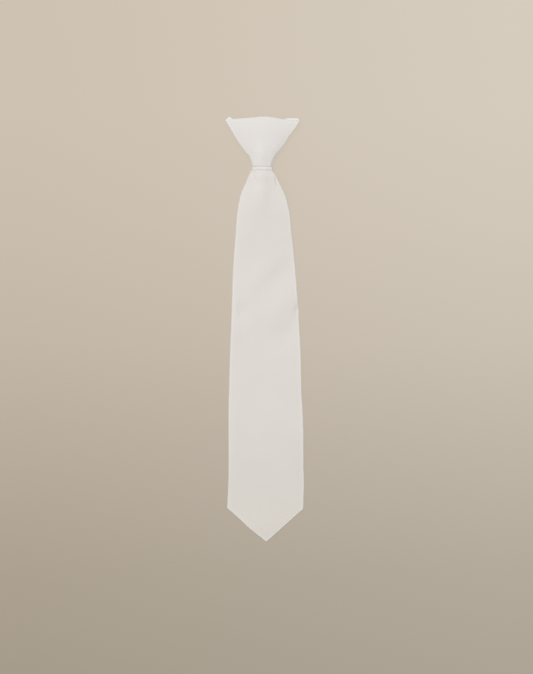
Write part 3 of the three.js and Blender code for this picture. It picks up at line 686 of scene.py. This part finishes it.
def makeKnot():
    top, end = knotRows[0], knotRows[-1]
    windowTop, windowLow, step = knot["windowTop"], knot["windowLow"], knot["rowStep"]
    turns = np.radians(knot["topTurns"])
    heights = np.concatenate([
        np.arange(knot["topRow"], windowTop + step, -step), windowTop + rimSteps[::-1],
        np.arange(windowTop - step, windowLow, -step), windowLow - rimSteps,
        np.arange(*knot["lowSpan"]), knot["mouth"] + np.array(knot["mouthSteps"])])
    rows = [dict(y=top["y"], turn=turn) for turn in turns] + [dict(y=y, turn=0.0, fold=0.0) for y in heights]
    grids = {key: [] for key in gridNames}
    for row in rows:
        share = (row["y"] - end["y"]) / (top["y"] - end["y"])
        rounder = 1 + knot["mouthRounder"] * (1 - float(ease(*knot["rounderFrom"], row["y"])))
        for inner, depth in enumerate((0.0, knot["wall"])):
            roll = ((top["front"] - top["back"]) / 2 - depth) * knot["foldSharpness"]
            fold = row.get("fold", roll * (1 - math.sin(row["turn"])))
            left, right, back, front, crown = sectionAt(
                knotRows, row["y"] - share * depth - fold, "left", "right", "back", "front", "crown")
            outside, middle = (right - left) / 2, (right + left) / 2
            half = outside - depth * knot["sideSlope"]
            mouth = rounding(row["y"] - knot["mouth"], knot["mouthRadius"]) * (-1 if inner else 1)
            for face in ("front", "back"):
                roundShare = (front - back - 2 * depth) / 2 * knot["foldSharpness"] * rounder / half
                roundShare = min(mostRound, roundShare)
                parting = knot["partingShare"] * (1 - min(mostRound, (front - back) / 2 / outside))
                if face == "back" and row["y"] <= windowTop:
                    parting = float(along(windowRows, max(row["y"], windowLow), "half")) / outside
                u = columnPlaces(roundShare, parting, half, knot)
                x, y = middle + half * u, fannedHeight(u, share, depth) - fold
                high = front + crown * (1 - np.abs(u) ** knot["crownPower"]) - depth
                high = high + faceForms(knotForms, x, y) * ease(*foldFade, np.abs(u))
                # level is where the fold is widest, and the face and the back rise from it
                level = np.minimum(front - knot["foldLevel"] * (front - back), high - knot["leastRise"])
                rise = (high if face == "front" else back + depth) - level
                drawnIn = 1 - mouth / np.maximum(knot["mouthLeast"], np.abs(rise))
                z = level + rise * foldDepth(u, roundShare) * math.cos(row["turn"]) * drawnIn
                x = middle + (x - middle) * (1 - mouth / half)
                if face == "back":
                    above = max(0.0, row["y"] - windowTop, windowLow - row["y"])
                    away = np.hypot(np.maximum(0, np.abs(u) - parting) * half, above)
                    z = z + rimShift(away, knot["rimRadius"], knot["wall"], inner)
                # a painted highlight by the folded sides and the top
                fromTop = fold + knot["highlightTop"] * (top["y"] - row["y"])
                fromEdge = np.minimum((1 - np.abs(u)) * half, fromTop)
                # no painted highlight by the mouth, which is drawn in, not pressed
                paintedHighlight = np.exp(-fromEdge / foldHighlightReach) * ease(*knot["highlightFrom"], row["y"])
                grids[face + ("In" if inner else "")].append(np.stack([x, y, z, paintedHighlight], -1))
    columns = len(grids["front"][0])
    flaps = knot["foldColumns"] + knot["flapColumns"]
    sides = np.array([row["y"] for row in rows])
    inWindow = (sides[:-1] <= windowTop) & (sides[1:] >= windowLow) & (np.arange(len(rows) - 1) >= len(turns))
    opened = np.zeros((len(rows) - 1, columns - 1), bool)
    opened[inWindow, flaps:columns - 1 - flaps] = True
    opened[1:knot["cornerRows"], 1:knot["leftCorner"]] = True
    opened[1:knot["cornerRows"], columns - 1 - knot["rightCorner"]:-1] = True
    return foldedSheet("knot_cloth", knotCloth, grids, opened, flaps, closeTop=True)


knotPiece = makeKnot()
print("knot area", round(meshArea(knotPiece) * 1e6), "mm2")
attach(knotPiece, "root")
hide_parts("knot_wrap")

former = {"gap": 1.5, "wall": 1.6, "lowEnd": 152.3, "columns": 49, "rows": 30, "bevel": 0.35}


def softenEdges(piece, width):
    softened = piece.modifiers.new("soft edges", "BEVEL")
    softened.width = width * mm
    softened.segments = 3
    softened.limit_method = "ANGLE"
    softened.angle_limit = math.radians(40)


def makeFormerShell():
    # a moulded tray that follows the inside of the knot's cloth
    top, end = knotRows[0], knotRows[-1]
    u = np.linspace(-1, 1, former["columns"])
    points = []
    for height in np.linspace(former["lowEnd"], top["y"], former["rows"]):
        share = (height - end["y"]) / (top["y"] - end["y"])
        left, right, front, crown = sectionAt(
            knotRows, height - share * former["gap"], "left", "right", "front", "crown")
        x = (left + right) / 2 + ((right - left) / 2 - former["gap"] * knot["sideSlope"]) * u
        y = fannedHeight(u, share, former["gap"])
        face = front + crown * (1 - np.abs(u) ** knot["crownPower"]) - former["gap"]
        points += [np.stack([x, y, face], -1), np.stack([x, y, face - former["wall"]], -1)[::-1]]
    loop = 2 * former["columns"]
    last = (former["rows"] - 1) * loop
    faces = tubeFaces(former["rows"], loop, ends=False)
    for k in range(former["columns"] - 1):   # the low and the top edge
        faces.append((k + 1, k, loop - 1 - k, loop - 2 - k))
        faces.append((last + k, last + k + 1, last + loop - 2 - k, last + loop - 1 - k))
    shell = addObject("former_shell", formerPlastic, np.concatenate(points), faces)
    softenEdges(shell, former["bevel"])
    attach(shell, "root")
    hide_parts("knot_former")


def signedArea(outline):
    # more than none where the outline runs anticlockwise
    x, y = np.array(outline, float).T
    return float(np.sum(x * np.roll(y, -1) - y * np.roll(x, -1))) / 2


def makePlate(name, outline, low, high, bevel, stand="z"):
    # a part of the former, on an outline in x and y from low to high, or in x and z where it stands along Y
    if (signedArea(outline) < 0) != (stand == "y"):
        outline = outline[::-1]
    points = [np.array([a, b, level] if stand == "z" else [a, level, b], float)
              for level in (low, high) for a, b in outline]
    piece = addObject(name, formerPlastic, points, tubeFaces(2, len(outline)))
    softenEdges(piece, bevel)
    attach(piece, "root")


def rectangle(middle, half, low, high):
    return [(middle - half, low), (middle + half, low), (middle + half, high), (middle - half, high)]


def roundedOutline(corners, radius, steps=5):
    # an outline's corners turned on a radius
    points = []
    for i, corner in enumerate(corners):
        here = np.array(corner, float)
        before = np.array(corners[i - 1], float) - here
        after = np.array(corners[(i + 1) % len(corners)], float) - here
        reach = min(radius, 0.45 * np.linalg.norm(before), 0.45 * np.linalg.norm(after))
        start = here + before / np.linalg.norm(before) * reach
        finish = here + after / np.linalg.norm(after) * reach
        for t in np.arange(steps + 1) / steps:
            points.append(tuple((1 - t) ** 2 * start + 2 * t * (1 - t) * here + t * t * finish))
    return points


makeFormerShell()
wing = {
    "low": 7.6, "high": 9.0, "leftRadius": 0.9, "rightRadius": 0.8, "leftBevel": 0.45, "rightBevel": 0.35,
    "left": [(-20.0, 169.6), (-20.0, 173.4), (-26.2, 175.6), (-27.8, 176.9), (-29.3, 177.7), (-30.6, 177.3),
             (-32.2, 175.7), (-33.1, 174.2), (-31.2, 171.8), (-28.8, 170.4)],
    "right": [(12.0, 170.4), (24.6, 170.4), (27.6, 170.9), (28.7, 172.4), (28.8, 174.2), (28.4, 176.0),
              (27.4, 176.45), (18.6, 176.45), (16.8, 175.8), (14.5, 173.4), (12.0, 172.6)],
}
for side in ("left", "right"):
    makePlate("wing_" + side, roundedOutline(wing[side], wing[side + "Radius"]), wing["low"], wing["high"],
              wing[side + "Bevel"])
clip = {"x": -1.9, "width": 12, "strip": 0.8, "bend": 3.1, "bendY": 166, "baseLow": 153, "leafStart": 162,
        "gripY": 151, "grip": 0.6, "mouthY": 145, "baseCorner": 1.0, "mouthCorner": 2.6, "edge": 0.3,
        "steps": (12, 25, 16, 14), "sides": 20}
clipBase = clip["strip"] + 2 * clip["bend"]
slotHalf = clip["width"] / 2 + clearance
boss = {"low": 152.3, "top": 171.6, "back": clipBase + clip["strip"] + clearance, "front": 10.9, "post": 1.6,
        "radius": 1.0, "bevel": 0.25}
bossHalf = slotHalf + boss["post"]
bossOutline = rectangle(clip["x"], bossHalf, boss["low"], boss["top"])
makePlate("former_boss", roundedOutline(bossOutline, boss["radius"]), boss["back"], boss["front"],
          boss["bevel"])
# the bridge is a U in x and z, which holds the clasp's base against the boss
bridge = {"low": 155, "high": 163, "under": clipBase - clearance, "thick": 0.9, "into": 0.2, "bevel": 0.25}
bridgeTop = boss["back"] + bridge["into"]
outside = rectangle(clip["x"], bossHalf, bridge["under"] - bridge["thick"], bridgeTop)
inside = rectangle(clip["x"], slotHalf, bridge["under"], bridgeTop)
bridgeOutline = outside[:3] + [inside[2], inside[1], inside[0], inside[3]] + outside[3:]
makePlate("former_bridge", bridgeOutline, bridge["low"], bridge["high"], bridge["bevel"], stand="y")
rib = {"x": 12.5, "half": 0.7, "low": 155.5, "high": 173.2, "back": 7.9, "front": 10.4, "bevel": 0.2}
for side, label in ((-1, "left"), (1, "right")):
    outline = rectangle(clip["x"] + side * rib["x"], rib["half"], rib["low"], rib["high"])
    makePlate("former_rib_" + label, outline, rib["back"], rib["front"], rib["bevel"])
print("former made")


def makeClasp():
    # one bent strip: from the base's free end over the bend and down the leaf to its mouth
    strip, radius = clip["strip"], clip["bend"] + clip["strip"] / 2
    baseSteps, bendSteps, leafSteps, mouthSteps = clip["steps"]
    line = [(y, clipBase + strip / 2) for y in np.linspace(clip["baseLow"], clip["bendY"], baseSteps)[:-1]]
    for turn in np.linspace(math.pi / 2, -math.pi / 2, bendSteps):
        line.append((clip["bendY"] + radius * math.cos(turn), strip / 2 + radius + radius * math.sin(turn)))
    for y in np.linspace(clip["leafStart"], clip["gripY"], leafSteps):
        line.append((y, strip / 2 + clip["grip"] * float(ease(clip["leafStart"], clip["gripY"], y))))
    for y in np.linspace(clip["gripY"], clip["mouthY"], mouthSteps)[1:]:
        line.append((y, strip / 2 + clip["grip"] * (1 - float(ease(clip["gripY"], clip["mouthY"], y)))))
    line = np.array(line)
    normal, length = -rightOf(np.gradient(line, axis=0)), lineLengths(line)
    points, count, edge = [], clip["sides"], clip["edge"]
    for (y, z), (outY, outZ), run in zip(line, normal, length):
        half = clip["width"] / 2 - float(rounding(run, clip["baseCorner"]))
        half -= float(rounding(length[-1] - run, clip["mouthCorner"]))
        for k in range(count):
            turn = 2 * math.pi * (k + 0.5) / count
            aside = (half - edge) * np.sign(math.cos(turn)) + edge * math.cos(turn)
            depth = (strip / 2 - edge) * np.sign(math.sin(turn)) + edge * math.sin(turn)
            points.append(np.array([clip["x"] + aside, y + outY * depth, z + outZ * depth]))
    faces = tubeFaces(len(line), count, flip=True)
    piece = addObject("collar_clasp", clipMetal, points, faces, sharpAngle=60)
    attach(piece, "root")
    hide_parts("collar_clip")


makeClasp()
print("clasp made")


# The roll of cloth round the neck
band = {"low": 132.94, "high": 136.13, "left": -10.6, "right": 6.4, "back": 3.9, "front": 12.1,
        "square": 0.72, "bulge": 0.35, "crown": 0.35, "corner": 0.27, "slant": 0.55, "depth": 0.95,
        "cloth": 0.3, "edges": (0.1, 0.6), "steps": 132, "faceSteps": 15,
        "creases": [(0.05, 0.9, 0.6), (0.03, 2.3, 2.0)]}   # depth, turn for each mm round the neck, start


def makeBand():
    # a strip folded into a flat roll, its two edges hidden on the inner side
    half, depth = (band["right"] - band["left"]) / 2, (band["front"] - band["back"]) / 2
    centre = np.array([(band["right"] + band["left"]) / 2, (band["front"] + band["back"]) / 2])
    # the ring that the roll follows round the neck, in even steps
    turns = np.linspace(0, 2 * math.pi, band["steps"], endpoint=False)
    ring = np.stack([reach * np.sign(wave) * np.abs(wave) ** band["square"]
                     for reach, wave in ((half, np.cos(turns)), (depth, np.sin(turns)))], -1)
    closed = np.vstack([ring, ring[:1]])
    at = lineLengths(closed)
    even = np.linspace(0, at[-1], band["steps"], endpoint=False)
    ring = np.stack([np.interp(even, at, closed[:, 0]), np.interp(even, at, closed[:, 1])], -1)
    outward = rightOf(np.roll(ring, -1, 0) - np.roll(ring, 1, 0))
    # the roll's section, out from the neck and along Y: the folded strip's middle line, then its two sides
    cloth, corner = band["cloth"], band["corner"]
    halfHeight = (band["high"] - band["low"] - cloth) / 2
    halfDepth = (band["depth"] + band["bulge"] - cloth) / 2
    flat = halfHeight - corner
    edgeDepth = halfDepth - band["crown"] * (flat / halfHeight) ** 2 - corner
    section = [(-halfDepth, -share * halfHeight) for share in band["edges"]]
    for middle, first in ((corner - halfDepth, 180), (edgeDepth, 270)):
        for turn in np.radians(np.linspace(first, first + 90, 6)[:-1]):
            section.append((middle + corner * math.cos(turn), corner * math.sin(turn) - flat))
    lower, faceHeights = section[::-1], np.linspace(-flat, flat, band["faceSteps"])
    section += [(halfDepth - band["crown"] * (h / halfHeight) ** 2, h) for h in faceHeights]
    section += [(a, -h) for a, h in lower]
    section = np.array(section)
    side = rightOf(np.gradient(section, axis=0)) * cloth / 2
    loop = np.concatenate([section + side, (section - side)[::-1]])
    middleY = (band["high"] + band["low"]) / 2
    points = []
    for s, place, away in zip(even, ring, outward):
        crease = sum(rise * math.sin(s * turn + start) for rise, turn, start in band["creases"])
        for a, h in loop:
            out = band["bulge"] - halfDepth - cloth / 2 + a + crease * ease(0, halfDepth, a)
            x, z = centre + place + away * out
            x -= band["slant"] * h / halfHeight * ease(0, half, place[0])   # the right end leans in above
            points.append(np.array([x, middleY + h, z]))
    walk = lineLengths(loop)
    walk = np.append(walk, walk[-1] + cloth)
    units = [[(s, near), (s, far), (s + even[1], far), (s + even[1], near)]
             for s in even for near, far in zip(walk[:-1], walk[1:])]
    faces = tubeFaces(band["steps"], len(loop), ends=False, wrap=True)
    piece = addObject("neck_roll", knotCloth, points, faces, np.array(units))
    print("roll area", round(meshArea(piece) * 1e6), "mm2")
    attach(piece, "root")
    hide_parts("knot_band")


makeBand()


# Paper, light and camera
camera = {"x": 1.42, "y": -6.2, "height": 2200, "frameHeight": 563.9, "focusPlane": 3, "sensor": 36}
cameraData = bpy.data.cameras.new("camera")
cameraObject = bpy.data.objects.new("camera", cameraData)
scene.collection.objects.link(cameraObject)
cameraData.lens = camera["sensor"] * (camera["height"] - camera["focusPlane"]) / camera["frameHeight"]
cameraData.sensor_width = camera["sensor"]
cameraData.clip_start, cameraData.clip_end = 0.1, 50
cameraObject.location = (camera["x"] * mm, camera["y"] * mm, camera["height"] * mm)
scene.camera = cameraObject

# the paper, in metres: painted light, brighter from below the point to above the knot and from left to right,
# and most of it is glow, which keeps the shadows faint
paper = {"size": 8.0, "level": -0.0002, "spanY": (-0.3, 0.28), "spanX": (-0.2, 0.2), "glow": 0.83,
         "matt": 0.13, "roughness": 0.9, "specular": 0.1,
         "paintedShadingSteps": [(0.42, 0.367, 0.293), (0.462, 0.402, 0.323), (0.53, 0.462, 0.377), (0.604, 0.529, 0.435),
                   (0.65, 0.571, 0.475), (0.679, 0.6, 0.5), (0.682, 0.603, 0.501)],
         "leftPaintedLight": (0.948, 0.94, 0.925), "rightPaintedLight": (1.04, 1.055, 1.075)}


def makePaper():
    half, level = paper["size"] / 2, paper["level"]
    mesh = bpy.data.meshes.new("paper")
    mesh.from_pydata([(x, y, level) for x, y in rectangle(0, half, -half, half)], [], [(0, 1, 2, 3)])
    piece = bpy.data.objects.new("paper", mesh)
    scene.collection.objects.link(piece)
    material, add, shader = newMaterial("paper")
    split = add("SeparateXYZ", {"Vector": add("TexCoord", {}).outputs["Object"]})

    def shareAcross(axis, span):
        share = add("MapRange", {"Value": split.outputs[axis], "From Min": span[0], "From Max": span[1]})
        return share.outputs["Result"]

    # painted light, rising along Y and from left to right
    places = np.linspace(0, 1, len(paper["paintedShadingSteps"]))
    tone = addRamp(add, shareAcross("Y", paper["spanY"]), list(zip(places, paper["paintedShadingSteps"])))
    sides = ((*paper[side], 1) for side in ("leftPaintedLight", "rightPaintedLight"))
    both = addMix(add, tone, addMix(add, *sides, shareAcross("X", paper["spanX"]), "MIX"))
    fillInputs(shader, {
        "Emission Color": both, "Emission Strength": paper["glow"],
        "Base Color": addMix(add, both, (paper["matt"],) * 3 + (1,)), "Roughness": paper["roughness"],
        "Specular IOR Level": paper["specular"]})
    mesh.materials.append(material)


makePaper()
sky = {"colour": (0.97, 0.985, 1.0), "strength": 0.475}
world = bpy.data.worlds.new("studio")
scene.world = world
world.use_nodes = True
fillInputs(world.node_tree.nodes["Background"], {"Color": (*sky["colour"], 1), "Strength": sky["strength"]})

# square soft lights, in metres and watts, turned to one target
lights = [
    dict(name="overhead", place=(-0.25, 0.5, 2.75), size=1.5, power=34, colour=(1.0, 0.985, 0.965)),
    dict(name="left", place=(-1.45, 1.1, 1.45), size=1.2, power=4, colour=(1.0, 1.0, 1.0)),
]
lightTarget = (0, 0.02, 0)
for light in lights:
    lamp = bpy.data.lights.new(light["name"], "AREA")
    lamp.shape = "SQUARE"
    lamp.size = light["size"]
    lamp.energy = light["power"]
    lamp.color = light["colour"]
    lampObject = bpy.data.objects.new(light["name"], lamp)
    scene.collection.objects.link(lampObject)
    lampObject.location = light["place"]
    lampObject.rotation_mode = "QUATERNION"
    away = Vector(light["place"]) - Vector(lightTarget)
    lampObject.rotation_quaternion = away.to_track_quat("Z", "Y")
scene.view_settings.view_transform = "Standard"
scene.view_settings.look = "None"
